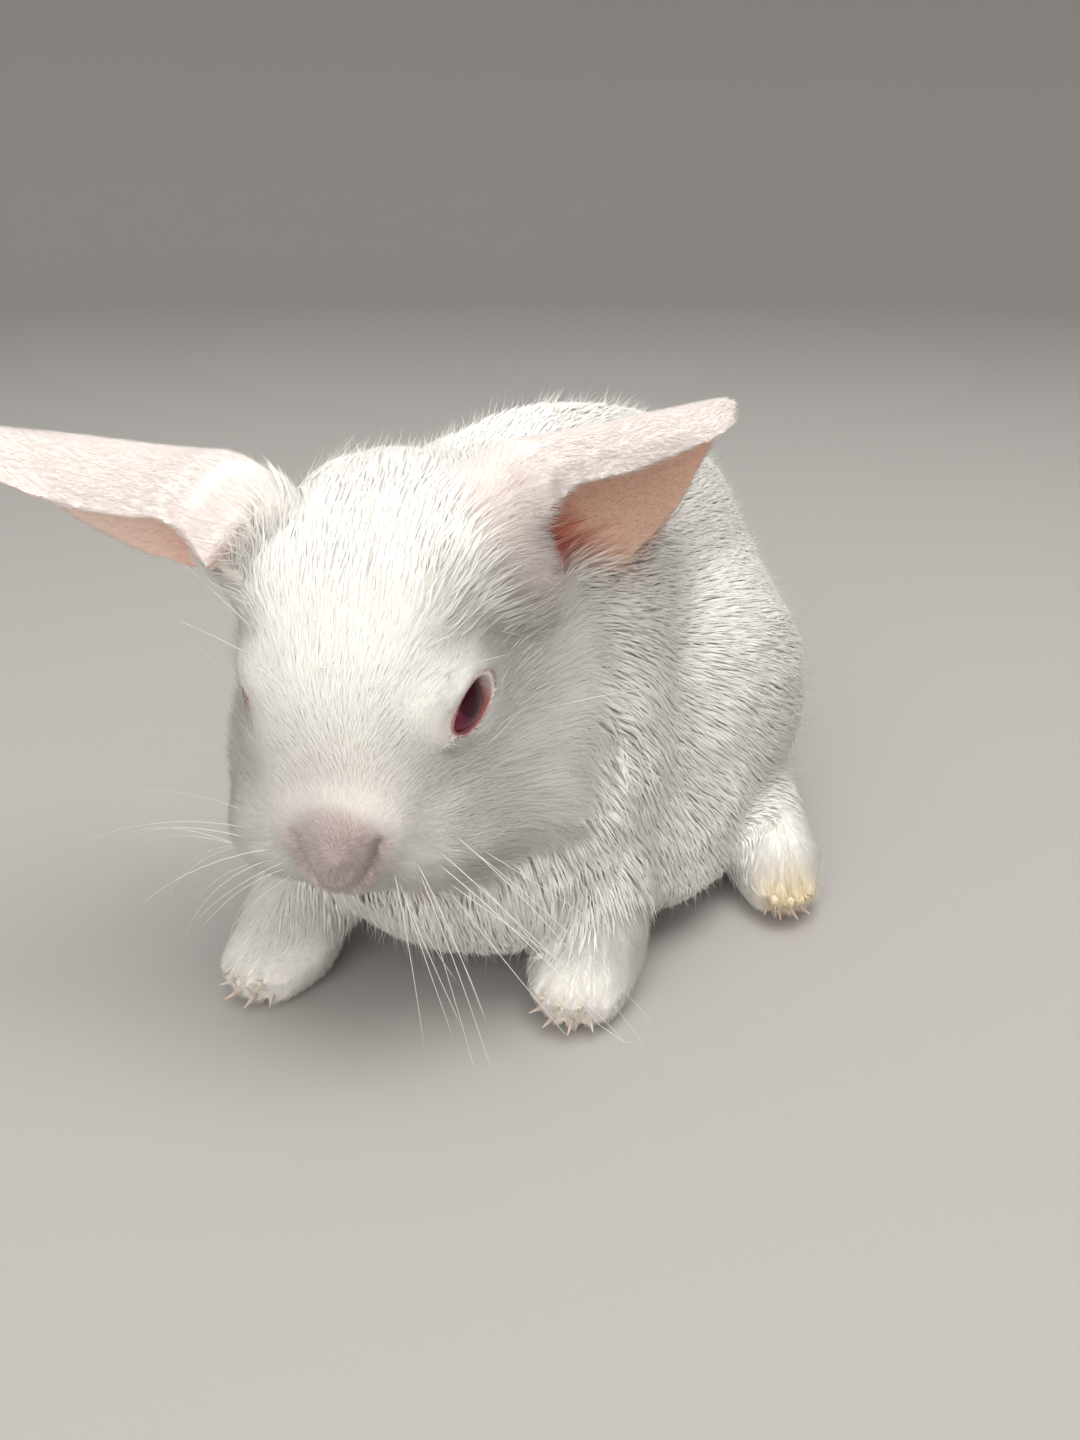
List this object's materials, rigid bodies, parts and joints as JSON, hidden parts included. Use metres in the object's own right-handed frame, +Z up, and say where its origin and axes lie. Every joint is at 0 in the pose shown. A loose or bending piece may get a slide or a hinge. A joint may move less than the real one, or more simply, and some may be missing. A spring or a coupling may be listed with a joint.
{
  "type": "lop rabbit",
  "caption": "Life-size still model of a young white lop rabbit, crouched on all fours with its head low and its ears held out.",
  "frame": {"origin": "on the floor, under the middle of the rabbit's box", "axes": "+Z up, the rabbit faces -Y and its left side is +X"},
  "size_m": [0.1456, 0.1878, 0.1087],
  "materials": {
    "fur": "soft white fur of medium length",
    "ear": "thin white fur over pink skin",
    "eye": "wet, dark ruby red",
    "claw": "pale, slightly translucent horn",
    "skin": "bare pink skin of the inner ears, the nose and the rims of the eyes"
  },
  "bodies": {
    "root": {"head": "fur", "neck": "fur", "trunk": "fur", "tail": "fur", "haunch_left": "fur", "haunch_right": "fur", "foreleg_left": "fur", "foreleg_right": "fur", "hind_foot_left": "fur", "hind_foot_right": "fur", "ear_left": "ear", "ear_right": "ear", "eye_left": "eye", "eye_right": "eye"}
  },
  "joints": []
}
